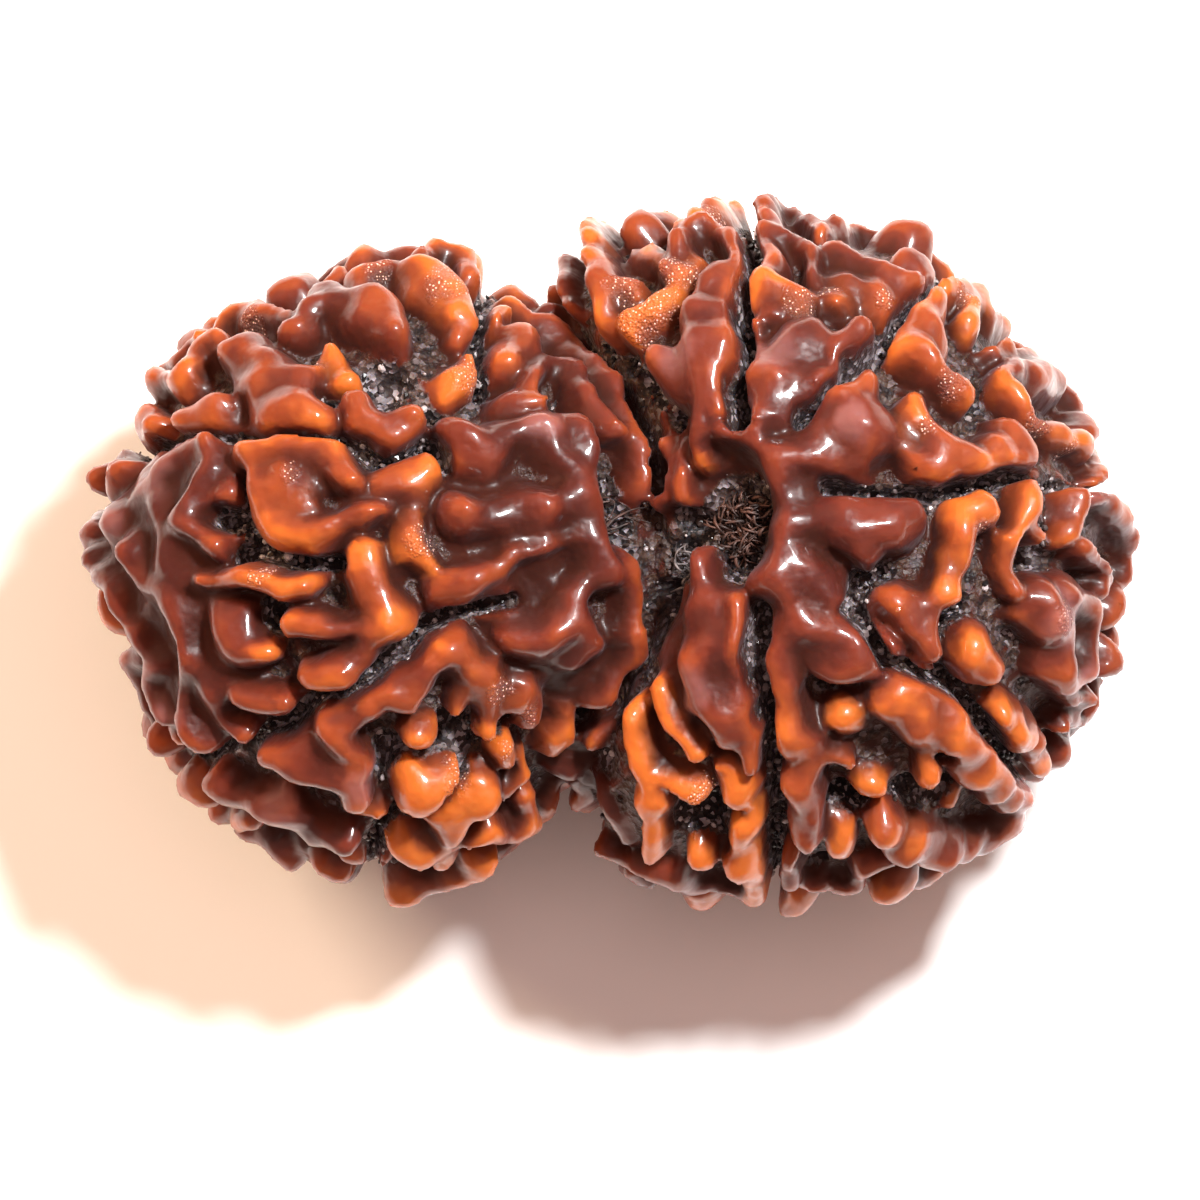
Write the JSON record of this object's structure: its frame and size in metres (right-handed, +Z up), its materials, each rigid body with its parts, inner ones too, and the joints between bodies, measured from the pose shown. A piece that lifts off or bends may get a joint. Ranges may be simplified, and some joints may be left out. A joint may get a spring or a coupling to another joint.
{
  "type": "conjoined rudraksha bead",
  "caption": "Natural rudraksha seed grown as a joined pair of ridged stones, polished and oiled, with deep clefts from pole to pole and a raised net of knobs. It lies loose on any surface.",
  "frame": {"origin": "centre of the bounding box in plan, on the surface the seed lies on", "axes": "+X along the pair towards the larger lobe, +Y across it, +Z up"},
  "size_m": [0.038, 0.0254, 0.0201],
  "materials": {
    "seed_coat": "oiled and polished, red-brown on the ridges and orange-brown on the lower knobs, dark in the pits"
  },
  "bodies": {
    "root": {"twin_bead": "seed_coat"}
  },
  "joints": []
}
